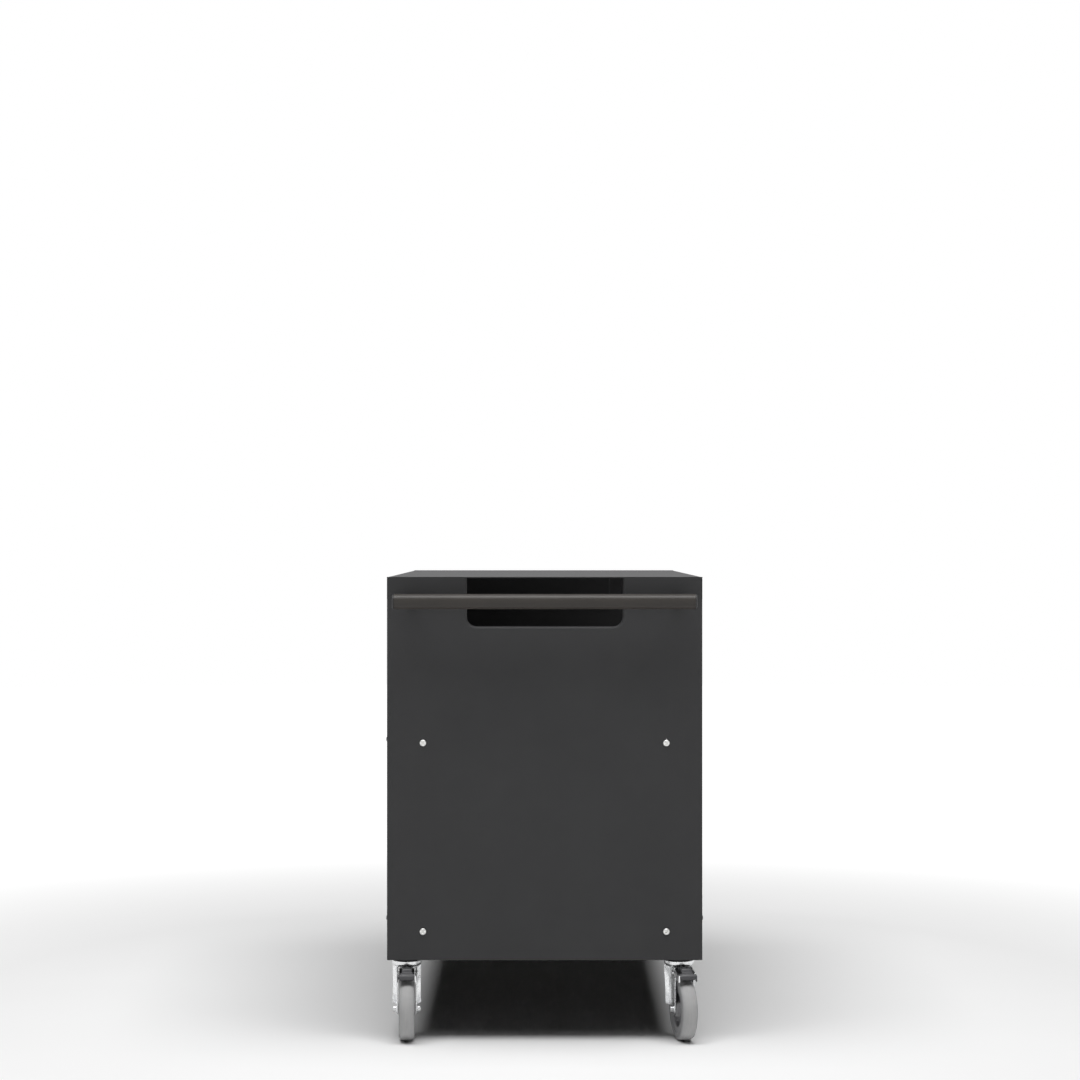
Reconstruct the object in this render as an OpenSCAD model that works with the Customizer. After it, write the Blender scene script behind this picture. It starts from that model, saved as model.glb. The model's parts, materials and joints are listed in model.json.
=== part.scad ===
// Outdoor oven table: a sheet steel cabinet with a flat deck, two doors, two side bars and four braked casters.
// The origin is on the floor under the middle of the table. The front is at -Y and the right side at +X.

/* [Cabinet] */
// Width over the side panels
cabinet_width = 1120; // [900:10:1400]
// Depth over the front and rear edges
cabinet_depth = 630; // [560:10:760]
// Height of the deck above the floor
deck_height = 928; // [860:1:1000]
// Height of the cabinet's bottom edge above the floor
cabinet_bottom = 163; // [161:1:180]
// Thickness of the sheet
sheet = 2; // [1.5:0.1:2.5]
// Outer radius of a sheet's bend
bend = 4; // [3:0.5:5]
// Width of the edges that turn in at the front and rear of a side panel
stile_width = 32; // [30:1:45]
// Height of the deck's front and rear edges
rail_height = 45; // [40:1:60]
// Width of the side panels' bottom edges that carry the tray
ledge_width = 85; // [80:1:110]

/* [Notch] */
// Clear width of the hand notch in a side panel
notch_width = 312; // [240:2:360]
// Clear depth of the notch below the deck's surface
notch_depth = 99; // [70:1:130]
// Radius of the notch's clear lower corners
notch_corner = 20; // [12:1:30]
// Outer radius of the rolled edge round the notch
notch_roll = 6; // [4:0.5:8]
// Straight run of the notch's edge after the roll
notch_lip = 14; // [8:1:20]

/* [Side bars] */
// Diameter of the bar
bar_diameter = 30; // [25:1:34]
// Wall of the bar's tube
bar_wall = 2; // [1.5:0.1:3]
// Distance of the bar's ends from the cabinet's front and rear edges
bar_inset = 14; // [5:1:60]
// Distance from the panel's face to the bar's axis
bar_offset = 52; // [45:1:65]
// Distance of the bar's axis below the deck's surface
bar_drop = 48; // [42:1:60]
// Distance of each post's axis from the end of the bar
post_inset = 37; // [30:1:60]
// Diameter of a post
post_diameter = 18; // [14:1:22]

/* [Shelf and tray] */
// Height of the mid shelf's surface above the floor
shelf_height = 620; // [560:1:660]
// Height of the shelf's side flanges
shelf_flange = 42; // [38:1:60]
// Height of the tray's side walls
tray_wall = 92; // [90:1:110]
// Height of the tray's front and rear lips, which reach up between the stiles
tray_lip = 38; // [30:1:60]
// Clear depth between the cabinet's front and the shelf
door_room = 30; // [28:1:36]
// Width and height of the rib under the deck
rib_size = [60, 84]; // [40:1:90]
// Distance of the rib's rear end from the deck's rear edge
rib_gap = 173; // [100:1:220]

/* [Doors] */
// Depth of a door's folded edge
door_flange = 20; // [18:1:22]
// Thickness of a door's inner liner
liner_sheet = 1.5; // [1:0.1:2]
// Gap round and between the doors
door_gap = 4; // [3.5:0.1:5]
// Width of the hand hole cut in a door's top edge
hand_width = 110; // [90:1:140]
// Depth of the hand hole
hand_depth = 30; // [26:1:36]
// Radius of the hand hole's lower corners
hand_corner = 12; // [6:1:18]
// Distance of a hinge's axis from the door's hinged edge and from its front face
hinge_inset = 10; // [9:0.5:11]
// Radius of a hinge pin
hinge_pin = 4; // [3:0.5:5]

/* [Casters] */
// Diameter of a wheel
wheel_diameter = 125; // [120:1:126]
// Width of a tyre
wheel_width = 32; // [28:1:34]
// Distance of each swivel's axis from the cabinet's side
swivel_inset = 55; // [48:1:75]
// Distance of the front swivels' axes from the cabinet's front
swivel_front = 37; // [36:1:60]
// Distance of the rear swivels' axes from the cabinet's rear
swivel_rear = 44; // [42:1:60]
// Distance from a swivel's axis to the wheel's axle
caster_trail = 36; // [34:1:40]
// Direction of the front right and front left casters about their swivels
front_turns = [3, 171]; // [0:1:180]
// Direction of the rear right and rear left casters about their swivels
rear_turns = [11, 186]; // [0:1:190]
// Gap between the fork's cheeks
fork_gap = 35.5; // [34.5:0.5:40]
// Thickness of the fork's plate
fork_plate = 2.5; // [2:0.1:3]
// Radius of a king bolt
king_bolt = 6; // [5:0.5:7]
// Radius of an axle
axle_radius = 4; // [3:0.5:5]

/* [Hidden] */

$fn = 48;
// Overrun of a cut past the face that it opens
over = 1;
// Gap between pieces of different bodies
clear = 0.3;
// Running clearance on a shaft's radius
running = 0.05;

half_width = cabinet_width / 2;
half_depth = cabinet_depth / 2;
inner_half = half_width - sheet;
inner_depth = half_depth - sheet;
deck_under = deck_height - sheet;
rail_bottom = deck_height - rail_height;
tray_floor = cabinet_bottom + 2 * sheet;
shelf_front = half_depth - door_room;
rib_bottom = deck_under - rib_size[1];
bend_inside = bend - sheet;
// Width of the strip where the notch's edge laps the panel
notch_lap = 1;

bar_length = cabinet_depth - 2 * bar_inset;
post_place = bar_length / 2 - post_inset;
rib_rear = half_depth - rib_gap;
// Width of the flanges that join the rib to the deck
rib_flange = 16;

// Screws: radius of the shank, radius of the head and height of the head
side_screw = [3, 6.7, 3.2];
frame_screw = [2.5, 4.8, 2.4];
post_screw = [4, 7, 4];
post_thread = 26;
head_taper_share = 0.7;
head_rim_share = 0.5;
slot_share = 0.5;
nut_flange = 1.2;
nut_length = 12;
nut_wall = 1.5;
cross_slot = 1.2;
cross_depth = 1.6;
// Places of the side screws from the cabinet's front and rear, above its bottom and below the shelf
side_screw_inset = 72;
side_screw_place = half_depth - side_screw_inset;
tray_screw_rise = 57;
shelf_screw_drop = 23.5;
// Places of the frame screws from the cabinet's side, above its bottom and below the shelf
frame_screw_inset = 20;
frame_tray_rise = 82;
frame_shelf_drop = 17;

side_screw_places = [
    for (y = [-side_screw_place, side_screw_place])
    for (z = [cabinet_bottom + tray_screw_rise, shelf_height - shelf_screw_drop])
    [y, z]
];
frame_screw_x = half_width - frame_screw_inset;
front_screw_heights = [cabinet_bottom + frame_tray_rise, shelf_height - frame_shelf_drop];
rear_screw_heights = [cabinet_bottom + frame_tray_rise];

bar_x = half_width + bar_offset;
bar_z = deck_height - bar_drop;
cap_face = 3;
cap_chamfer = 1;
cap_spigot = 18;

shelf_lip = 18;
ear_inset = 3;
rear_hem = 22;
plate_size = [84, 62, 4];

// Doors
opening_edge = half_width - stile_width;
door_outer = opening_edge - door_gap;
door_inner = door_gap / 2;
lip_top = cabinet_bottom + tray_lip;
door_low = lip_top + door_gap;
door_high = rail_bottom - door_gap;
door_front = -half_depth;
door_back = door_front + door_flange + liner_sheet;
hinge_x = door_outer - hinge_inset;
hinge_y = door_front + hinge_inset;
hand_inset = 24;
hand_x = door_inner + hand_inset + hand_width / 2;
liner_inset = 2;
bush_wall = 2.5;
bracket_plate = 2;
bush_flange = door_gap - bracket_plate - clear;
bush_length = 18;
bush_rim = 2;
bracket_leg = 22;
pin_length = 24;
strike_size = [18, 1.5, 16];
strike_inset = 3;
catch_size = [56, 24, 20];
catch_magnet = 6;
magnet_recess = 0.5;
catch_top = rib_bottom;

// Casters, in a frame with the swivel's axis at the origin and the wheel trailing towards +X
axle_height = wheel_diameter / 2;
race_radius = 22;
race_neck = 17;
race_height = 10.7;
race_step = 4;
head_top = cabinet_bottom - race_height - clear;
head_height = 8;
head_radius = 30;
head_floor = 26;
head_rim = 3;
// Height of the dish's rim above the underside of the upper race
head_rise = 3.6;
head_low = head_top - head_height;
race_inside = 17;
race_low = head_low + fork_plate + clear;
king_head = [15, 4];
nut_height = 10;
nut_radius = 11;
nut_rim = 2;
cheek_in = fork_gap / 2;
cheek_out = cheek_in + fork_plate;
cheek_back = 1;
cheek_front = 26;
cheek_top = head_low + fork_plate / 2;
cheek_nose = 11;
// Bend of the cheek's rear edge between the head and the axle, as shares of the way down and back
rear_bend_share = [0.87, 0.1];
cheek_flange = 7;
// Shoulder of the cheek's front edge: how far it stands out, and where it starts, widens and ends below the head
shoulder = 4.4;
shoulder_heights = [36, 27.6, 18];
hub_radius = 47;
hub_core = 13;
hub_bush_radius = 6.5;
hub_web = 8;
rim_wall = 5;
// Length of the boss on each cheek's inside that spaces the hub
spacer = 0.5;
spacer_wall = 2;
hub_length = fork_gap - 2 * clear - 2 * spacer;
hub_recess = 2;
nut_stand = 5.5;
axle_tip = 1;
axle_end = cheek_out + nut_stand + axle_tip;
axle_nut = 6.5;
tyre_shoulder = 6;
tyre_crown = 1.5;
pedal_rise = 9.5;
pedal_pivot = [30, wheel_diameter + pedal_rise];
pedal_gap = 2.5;
pedal_width = fork_gap - 2 * pedal_gap;
pedal_pin_radius = 2.5;
pedal_boss = 5;
pedal_tip = 74;
pedal_bend = 56;
pedal_toe = 4;
pedal_dip = 2;
pedal_top = 12.5;
// The wings in front of the cheeks
wing_start = 60;
wing_width = 39;
groove = [3, 3];
groove_pitch = 6;
groove_count = 4;
groove_rim = 4;
pin_head = 4.5;
pin_head_height = 2;

corners = [
    ["front_right", 1, swivel_front - half_depth, front_turns[0]],
    ["front_left", -1, swivel_front - half_depth, front_turns[1]],
    ["rear_right", 1, half_depth - swivel_rear, rear_turns[0]],
    ["rear_left", -1, half_depth - swivel_rear, rear_turns[1]]
];

// Carries a shape drawn with X, Y and Z as global Y, Z and X
module along_x() {
    rotate([90, 0, 90]) children();
}

// Carries a shape drawn with X, Y and Z as global X, Z and -Y
module along_y() {
    rotate([90, 0, 0]) children();
}

// Copies the right side's shape to both sides
module both_sides() {
    for (side = [0, 1]) mirror([side, 0, 0]) children();
}

// A quarter of a ring in the first quadrant
module quarter_ring(outer, wall) {
    intersection() {
        difference() {
            circle(outer);
            circle(outer - wall);
        }
        square(outer);
    }
}

// Section of a folded sheet: a face of the given length along Y at X = 0, and two edges that run to -X
module folded_section(length, edge) {
    translate([-sheet, -length / 2 + bend]) square([sheet, length - 2 * bend]);
    for (end = [0, 1]) mirror([0, end]) {
        translate([-bend, length / 2 - bend]) quarter_ring(bend, sheet);
        translate([-edge, length / 2 - sheet]) square([edge - bend, sheet]);
    }
}

// Outline of the notch, grown outward from its clear opening, with X along the panel and Y up
module notch_outline(grow) {
    wide = notch_width + 2 * grow;
    low = deck_height - notch_depth - grow;
    round = notch_corner + grow;
    translate([-wide / 2, low + round]) square([wide, deck_height - low]);
    translate([-wide / 2 + round, low]) square([wide - 2 * round, 2 * round]);
    for (side = [-1, 1]) translate([side * (wide / 2 - round), low + round]) circle(round);
}

// Section of the notch's rolled edge: X is the distance from the clear opening and Y the way out of the cabinet
module notch_edge_section() {
    translate([notch_roll, half_width - notch_roll]) mirror([1, 0]) quarter_ring(notch_roll, sheet);
    translate([0, half_width - notch_roll - notch_lip]) square([sheet, notch_lip]);
    translate([notch_roll, inner_half]) square([notch_lap, sheet]);
}

module notch_edge() {
    low = deck_height - notch_depth;
    straight = notch_width / 2 - notch_corner;
    for (side = [0, 1]) mirror([0, side, 0]) {
        translate([0, straight, low + notch_corner]) rotate([90, 0, 90])
            rotate([0, 0, -90]) rotate_extrude(angle = 90) translate([notch_corner, 0]) notch_edge_section();
        translate([0, notch_width / 2, low + notch_corner]) multmatrix([[0, 1, 0, 0], [1, 0, 0, 0], [0, 0, 1, 0]])
            linear_extrude(deck_under - low - notch_corner) notch_edge_section();
    }
    translate([0, -straight, low]) multmatrix([[0, 1, 0, 0], [0, 0, 1, 0], [-1, 0, 0, 0]])
        linear_extrude(2 * straight) notch_edge_section();
}

// Outline of a side panel's top part, with its corners cut to clear the inside of the deck's bends
module upper_outline() {
    low = rail_bottom - clear;
    edge = inner_depth - bend_inside;
    polygon([
        [-inner_depth, low], [inner_depth, low], [inner_depth, deck_under - bend_inside], [edge, deck_under],
        [-edge, deck_under], [-inner_depth, deck_under - bend_inside]
    ]);
}

// Cuts a corner to clear the inside of a side panel's front bend
module corner_cut(low, high) {
    translate([inner_half, -inner_depth, low - over]) linear_extrude(high - low + 2 * over)
        polygon([[bend_inside, 0], [0, bend_inside], [-bend_inside, 0], [0, -bend_inside]]);
}

module side_panel() {
    color("dimgray") {
        difference() {
            union() {
                translate([half_width, 0, cabinet_bottom])
                    linear_extrude(rail_bottom - cabinet_bottom - clear) folded_section(cabinet_depth, stile_width);
                along_x() translate([0, 0, inner_half]) linear_extrude(sheet) upper_outline();
                translate([half_width - ledge_width, -inner_depth, cabinet_bottom])
                    cube([ledge_width - sheet, 2 * inner_depth, sheet]);
                translate([inner_half - notch_lip, -inner_depth + bend_inside, deck_under - sheet])
                    cube([notch_lip, 2 * (inner_depth - bend_inside), sheet]);
            }
            along_x() translate([0, 0, half_width - ledge_width]) linear_extrude(ledge_width + over)
                notch_outline(notch_roll);
            for (place = side_screw_places) translate([inner_half - over, place[0], place[1]])
                rotate([0, 90, 0]) cylinder(r = side_screw[0], h = sheet + 2 * over);
            for (side = [-1, 1]) translate([inner_half - over, side * post_place, bar_z])
                rotate([0, 90, 0]) cylinder(r = post_screw[0], h = sheet + 2 * over);
            for (z = front_screw_heights) translate([frame_screw_x, -half_depth - over, z])
                rotate([-90, 0, 0]) cylinder(r = frame_screw[0], h = sheet + 2 * over);
            for (z = rear_screw_heights) translate([frame_screw_x, inner_depth - over, z])
                rotate([-90, 0, 0]) cylinder(r = frame_screw[0], h = sheet + 2 * over);
            king_holes(cabinet_bottom, sheet);
        }
        notch_edge();
    }
}

// Holes for the king bolts through a plate whose underside is at the given height
module king_holes(low, thickness) {
    for (corner = corners) translate([corner[1] * (half_width - swivel_inset), corner[2], low - over])
        cylinder(r = king_bolt, h = thickness + 2 * over);
}

module top_deck() {
    color("dimgray") {
        translate([-inner_half, 0, deck_height]) rotate([90, 0, 90]) rotate([0, 0, 90])
            linear_extrude(2 * inner_half) folded_section(cabinet_depth, rail_height);
        both_sides() translate([inner_half, -half_depth, deck_under]) cube([sheet, cabinet_depth, sheet]);
    }
}

module deck_rib() {
    front = shelf_front - 2 * sheet;
    length = front + rib_rear;
    wide = rib_size[0];
    color("dimgray") translate([0, -front, 0]) {
        translate([-wide / 2, 0, rib_bottom]) cube([wide, length, sheet]);
        both_sides() {
            translate([wide / 2 - sheet, 0, rib_bottom]) cube([sheet, length, rib_size[1]]);
            translate([wide / 2 - sheet, 0, deck_under - sheet]) cube([rib_flange, length, sheet]);
        }
    }
}

// Side wall of the shelf or tray, with an ear behind each screwed stile
module wall_with_ears(low, high, ears) {
    wall_y = inner_depth - sheet;
    difference() {
        union() {
            translate([inner_half - sheet, -inner_depth, low]) cube([sheet, 2 * inner_depth - sheet, high - low]);
            for (end = ears) translate([opening_edge + ear_inset, end > 0 ? wall_y - sheet : -inner_depth, low])
                cube([inner_half - opening_edge - ear_inset, sheet, high - low]);
        }
        corner_cut(low, high);
        for (place = side_screw_places) translate([inner_half - sheet - over, place[0], place[1]])
            rotate([0, 90, 0]) cylinder(r = side_screw[0], h = sheet + 2 * over);
        for (z = front_screw_heights) translate([frame_screw_x, -inner_depth - over, z])
            rotate([-90, 0, 0]) cylinder(r = frame_screw[0], h = sheet + 2 * over);
        for (z = rear_screw_heights) translate([frame_screw_x, wall_y - sheet - over, z])
            rotate([-90, 0, 0]) cylinder(r = frame_screw[0], h = sheet + 2 * over);
    }
}

module mid_shelf() {
    back = inner_depth - sheet;
    color("gray") {
        translate([-inner_half, -shelf_front, shelf_height - sheet])
            cube([2 * inner_half, shelf_front + back, sheet]);
        for (y = [-shelf_front, back - sheet]) translate([-inner_half + sheet, y, shelf_height - shelf_lip])
            cube([2 * (inner_half - sheet), sheet, shelf_lip - sheet]);
        both_sides() wall_with_ears(shelf_height - shelf_flange, shelf_height - sheet, [-1]);
    }
}

module bottom_tray() {
    back = inner_depth - sheet;
    low = cabinet_bottom + sheet;
    color("gray") {
        difference() {
            translate([-inner_half, -inner_depth, low]) cube([2 * inner_half, inner_depth + back, sheet]);
            king_holes(low, sheet);
            both_sides() corner_cut(low, low + sheet);
        }
        for (y = [-half_depth, back - sheet]) translate([-opening_edge + clear, y, y < 0 ? cabinet_bottom : low])
            cube([2 * (opening_edge - clear), sheet, lip_top - (y < 0 ? cabinet_bottom : low)]);
        both_sides() wall_with_ears(low, low + tray_wall, [-1, 1]);
    }
}

module rear_panel() {
    low = tray_floor - sheet;
    color("dimgray") difference() {
        union() {
            translate([-inner_half + sheet, inner_depth - sheet, low])
                cube([2 * (inner_half - sheet), sheet, shelf_height - low]);
            translate([-inner_half + sheet, inner_depth - rear_hem, shelf_height])
                cube([2 * (inner_half - sheet), rear_hem, sheet]);
        }
        for (side = [-1, 1]) for (z = rear_screw_heights)
            translate([side * frame_screw_x, inner_depth - sheet - over, z])
                rotate([-90, 0, 0]) cylinder(r = frame_screw[0], h = sheet + 2 * over);
    }
}

module caster_plates() {
    inset = plate_size / 2;
    color("silver") for (corner = corners)
        translate([corner[1] * (half_width - swivel_inset), corner[2], tray_floor]) difference() {
            translate([-inset[0], -inset[1], 0]) cube(plate_size);
            translate([0, 0, -over]) cylinder(r = king_bolt, h = plate_size[2] + 2 * over);
        }
}

// Places a caster's parts: the wheel trails towards +X of this frame
module at_corner(corner) {
    translate([corner[1] * (half_width - swivel_inset), corner[2], 0]) rotate([0, 0, corner[3]]) children();
}

module upper_races() {
    color("darkslategray") for (corner = corners) at_corner(corner) difference() {
        union() {
            translate([0, 0, cabinet_bottom - race_step]) cylinder(r = race_neck, h = race_step);
            translate([0, 0, head_top + clear]) cylinder(r = race_radius, h = race_height - race_step);
            translate([0, 0, race_low]) cylinder(r = race_inside, h = head_top + clear - race_low);
        }
        translate([0, 0, race_low - over]) cylinder(r = king_bolt, h = cabinet_bottom - race_low + 2 * over);
    }
}

module king_bolts() {
    low = head_low - clear;
    top = tray_floor + plate_size[2] + nut_height + over;
    color("silver") for (corner = corners) at_corner(corner) {
        translate([0, 0, low - king_head[1]]) cylinder(r = king_head[0], h = king_head[1]);
        translate([0, 0, low]) cylinder(r = king_bolt, h = top - low);
    }
}

module king_nuts() {
    low = tray_floor + plate_size[2];
    color("silver") for (corner = corners) at_corner(corner) translate([0, 0, low]) difference() {
        union() {
            cylinder(r = nut_radius + nut_rim, h = nut_flange);
            cylinder(r = nut_radius, h = nut_height, $fn = 6);
        }
        translate([0, 0, -over]) cylinder(r = king_bolt, h = nut_height + 2 * over);
    }
}

module bar_tube() {
    tube = bar_length - 2 * cap_face;
    color("dimgray") translate([bar_x, -tube / 2, bar_z]) rotate([-90, 0, 0]) difference() {
        cylinder(d = bar_diameter, h = tube);
        translate([0, 0, -over]) cylinder(d = bar_diameter - 2 * bar_wall, h = tube + 2 * over);
    }
}

module bar_caps() {
    plug = bar_diameter / 2 - bar_wall;
    color("black") both_sides() for (end = [0, 1]) mirror([0, end, 0])
        translate([bar_x, -bar_length / 2, bar_z]) rotate([-90, 0, 0]) {
            cylinder(d1 = bar_diameter - 2 * cap_chamfer, d2 = bar_diameter, h = cap_chamfer);
            translate([0, 0, cap_chamfer]) cylinder(d = bar_diameter, h = cap_face - cap_chamfer);
            translate([0, 0, cap_face]) cylinder(r = plug, h = cap_spigot - cap_face);
        }
}

module bar_posts() {
    color("dimgray") both_sides() for (side = [-1, 1]) translate([0, side * post_place, bar_z]) difference() {
        translate([half_width, 0, 0]) rotate([0, 90, 0]) cylinder(d = post_diameter, h = bar_offset);
        translate([bar_x, -post_diameter, 0]) rotate([-90, 0, 0])
            cylinder(d = bar_diameter, h = 2 * post_diameter);
        translate([half_width - over, 0, 0]) rotate([0, 90, 0])
            cylinder(r = post_screw[0], h = post_thread + over);
    }
}

// A screw along +Z with its head's seat at the origin and its shank below
module pan_screw(screw, length) {
    rim = screw[2] * head_rim_share;
    reach = screw[1] * slot_share;
    difference() {
        union() {
            translate([0, 0, -length]) cylinder(r = screw[0], h = length);
            cylinder(r = screw[1], h = rim);
            translate([0, 0, rim]) cylinder(r1 = screw[1], r2 = screw[1] * head_taper_share, h = screw[2] - rim);
        }
        for (turn = [45, 135]) rotate([0, 0, turn]) translate([-reach, -cross_slot / 2, screw[2] - cross_depth])
            cube([2 * reach, cross_slot, cross_depth + over]);
    }
}

module post_screws() {
    color("silver") both_sides() for (side = [-1, 1]) translate([inner_half, side * post_place, bar_z])
        rotate([0, -90, 0]) pan_screw(post_screw, sheet + post_thread);
}

module side_screws() {
    color("silver") both_sides() for (place = side_screw_places) translate([half_width, place[0], place[1]])
        rotate([0, 90, 0]) pan_screw(side_screw, 2 * sheet + nut_length);
}

module frame_screws() {
    color("black") both_sides() {
        for (z = front_screw_heights) translate([frame_screw_x, -half_depth, z])
            rotate([90, 0, 0]) pan_screw(frame_screw, 2 * sheet + nut_length);
        for (z = rear_screw_heights) translate([frame_screw_x, half_depth, z])
            rotate([-90, 0, 0]) pan_screw(frame_screw, 3 * sheet + nut_length);
    }
}

// A rivet nut along -Z with its flange's face at the origin
module rivet_nut(bore) {
    translate([0, 0, -nut_length]) difference() {
        union() {
            cylinder(r = bore + nut_wall, h = nut_length);
            translate([0, 0, nut_length - nut_flange]) cylinder(r = bore + 2 * nut_wall, h = nut_flange);
        }
        translate([0, 0, -over]) cylinder(r = bore, h = nut_length + 2 * over);
    }
}

module side_nuts() {
    color("silver") both_sides() for (place = side_screw_places)
        translate([inner_half - sheet, place[0], place[1]]) rotate([0, 90, 0]) rivet_nut(side_screw[0]);
}

module frame_nuts() {
    color("silver") both_sides() {
        for (z = front_screw_heights) translate([frame_screw_x, -inner_depth + sheet, z])
            rotate([90, 0, 0]) rivet_nut(frame_screw[0]);
        for (z = rear_screw_heights) translate([frame_screw_x, inner_depth - 2 * sheet, z])
            rotate([-90, 0, 0]) rivet_nut(frame_screw[0]);
    }
}

// A bracket whose tab holds a pin and whose leg lies on the cabinet's side, the given distance inside its sheet
module hinge_bracket(low, inside) {
    left = hinge_x - hinge_inset;
    right = inner_half - inside;
    front = -inner_depth + inside;
    difference() {
        union() {
            translate([left, front, low]) cube([right - left, bracket_leg - inside, bracket_plate]);
            translate([right - bracket_plate, front, low - bracket_leg])
                cube([bracket_plate, bracket_leg - inside, bracket_leg]);
        }
        translate([hinge_x, hinge_y, low - over]) cylinder(r = hinge_pin, h = bracket_plate + 2 * over);
        corner_cut(low - bracket_leg, low + bracket_plate);
    }
}

module hinge_brackets() {
    color("gray") both_sides() {
        hinge_bracket(rail_bottom - bracket_plate, 0);
        hinge_bracket(lip_top, sheet);
    }
}

module hinge_pins() {
    color("silver") both_sides() {
        for (low = [lip_top, rail_bottom - pin_length]) translate([hinge_x, hinge_y, low])
            cylinder(r = hinge_pin, h = pin_length);
    }
}

module door_catch() {
    front = -door_back - strike_size[1] - clear;
    color("black") difference() {
        translate([-catch_size[0] / 2, -front, catch_top - catch_size[2]]) cube(catch_size);
        for (side = [-1, 1]) translate([side * catch_size[0] / 4, -front - over, catch_top - catch_size[2] / 2])
            rotate([-90, 0, 0]) cylinder(r = catch_magnet, h = over + magnet_recess);
    }
}

module hand_hole(grow) {
    wide = hand_width + 2 * grow;
    low = door_high - hand_depth - grow;
    round = hand_corner + grow;
    translate([hand_x - wide / 2, low + round]) square([wide, hand_depth + over]);
    translate([hand_x - wide / 2 + round, low]) square([wide - 2 * round, 2 * round]);
    for (side = [-1, 1]) translate([hand_x + side * (wide / 2 - round), low + round]) circle(round);
}

module door_skin() {
    width = door_outer - door_inner;
    middle = (door_outer + door_inner) / 2;
    color("dimgray") difference() {
        union() {
            translate([middle, door_front, door_low]) rotate([0, 0, -90])
                linear_extrude(door_high - door_low) folded_section(width, door_flange);
            for (z = [door_low, door_high - sheet]) translate([door_inner + sheet, door_front + sheet, z])
                cube([width - 2 * sheet, door_flange - sheet, sheet]);
            translate([0, door_front + door_flange, 0]) along_y() linear_extrude(door_flange - sheet / 2)
                intersection() {
                    hand_hole(sheet);
                    translate([door_inner, door_low]) square([width, door_high - door_low]);
                }
        }
        translate([0, door_front + door_flange + over, 0]) along_y()
            linear_extrude(door_flange + 2 * over) hand_hole(0);
        translate([hinge_x, hinge_y, door_low - over]) cylinder(r = hinge_pin + bush_wall, h = sheet + 2 * over);
        translate([hinge_x, hinge_y, door_high - sheet - over])
            cylinder(r = hinge_pin + bush_wall, h = sheet + 2 * over);
    }
}

module door_liner() {
    color("gray") translate([0, door_back, 0]) along_y() linear_extrude(liner_sheet) difference() {
        translate([door_inner + liner_inset, door_low + liner_inset])
            square([door_outer - door_inner - 2 * liner_inset, door_high - door_low - 2 * liner_inset]);
        hand_hole(0);
    }
}

module hinge_bushes() {
    outer = hinge_pin + bush_wall;
    color("black") {
        for (low = [door_low, door_high - bush_length]) translate([hinge_x, hinge_y, low]) difference() {
            union() {
                cylinder(r = outer, h = bush_length);
                translate([0, 0, low > door_low ? bush_length : -bush_flange])
                    cylinder(r = outer + bush_rim, h = bush_flange);
            }
            translate([0, 0, -bush_flange - over])
                cylinder(r = hinge_pin + running, h = bush_length + 2 * (bush_flange + over));
        }
    }
}

module strike() {
    low = catch_top - (catch_size[2] + strike_size[2]) / 2;
    color("silver") translate([door_inner + strike_inset, door_back, low]) cube(strike_size);
}

// Points along the rear edge of a fork's cheek, from its top down
function cheek_rear() = [
    [-cheek_back, cheek_top],
    [
        -cheek_back + (caster_trail - cheek_nose + cheek_back) * rear_bend_share[1],
        cheek_top - (cheek_top - axle_height) * rear_bend_share[0]
    ],
    [caster_trail - cheek_nose, axle_height]
];

// Outline of a fork's cheek from the side, with X along the trail and Y up
module cheek_outline() {
    front = caster_trail + cheek_nose;
    translate([caster_trail, axle_height]) circle(cheek_nose);
    polygon(concat(cheek_rear(), [
        [front, axle_height],
        [front, head_low - shoulder_heights[0]],
        [front + shoulder, head_low - shoulder_heights[1]],
        [front + shoulder, head_low - shoulder_heights[2]],
        [cheek_front, cheek_top]
    ]));
}

// The strip along a cheek's rear edge, down to its bend, that turns outward
module rear_flange() {
    edge = cheek_rear();
    polygon([edge[0], edge[1], edge[1] + [fork_plate, 0], edge[0] + [fork_plate, 0]]);
}

module fork() {
    bolt = king_bolt + running;
    color("silver") difference() {
        union() {
            // The dished head turns on the bolt under the upper race
            translate([0, 0, head_low]) rotate_extrude() polygon([
                [0, 0], [head_floor, 0], [head_radius, head_height - head_rim],
                [head_radius, head_height + head_rise], [head_radius - fork_plate, head_height + head_rise],
                [head_radius - fork_plate, head_height - head_rim + fork_plate / 2],
                [head_floor - fork_plate / 2, fork_plate], [0, fork_plate]
            ]);
            for (side = [0, 1]) mirror([0, side, 0]) {
                translate([0, cheek_out, 0]) along_y() linear_extrude(fork_plate) cheek_outline();
                translate([0, cheek_out + cheek_flange, 0]) along_y()
                    linear_extrude(cheek_flange + fork_plate) rear_flange();
            }
        }
        translate([0, 0, head_low - over]) cylinder(r = bolt, h = fork_plate + 2 * over);
        translate([caster_trail, -axle_end, axle_height]) rotate([-90, 0, 0])
            cylinder(r = axle_radius, h = 2 * axle_end);
        translate([pedal_pivot[0], -axle_end, pedal_pivot[1]]) rotate([-90, 0, 0])
            cylinder(r = pedal_pin_radius, h = 2 * axle_end);
    }
}

module axle() {
    color("silver") {
        translate([caster_trail, -axle_end, axle_height]) rotate([-90, 0, 0])
            cylinder(r = axle_radius, h = 2 * axle_end);
        for (side = [0, 1]) mirror([0, side, 0]) {
            translate([caster_trail, cheek_out, axle_height]) rotate([-90, 0, 0])
                cylinder(r = axle_nut, h = nut_stand, $fn = 6);
            translate([caster_trail, cheek_in - spacer, axle_height]) rotate([-90, 0, 0])
                cylinder(r = axle_radius + spacer_wall, h = spacer);
        }
    }
}

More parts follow.
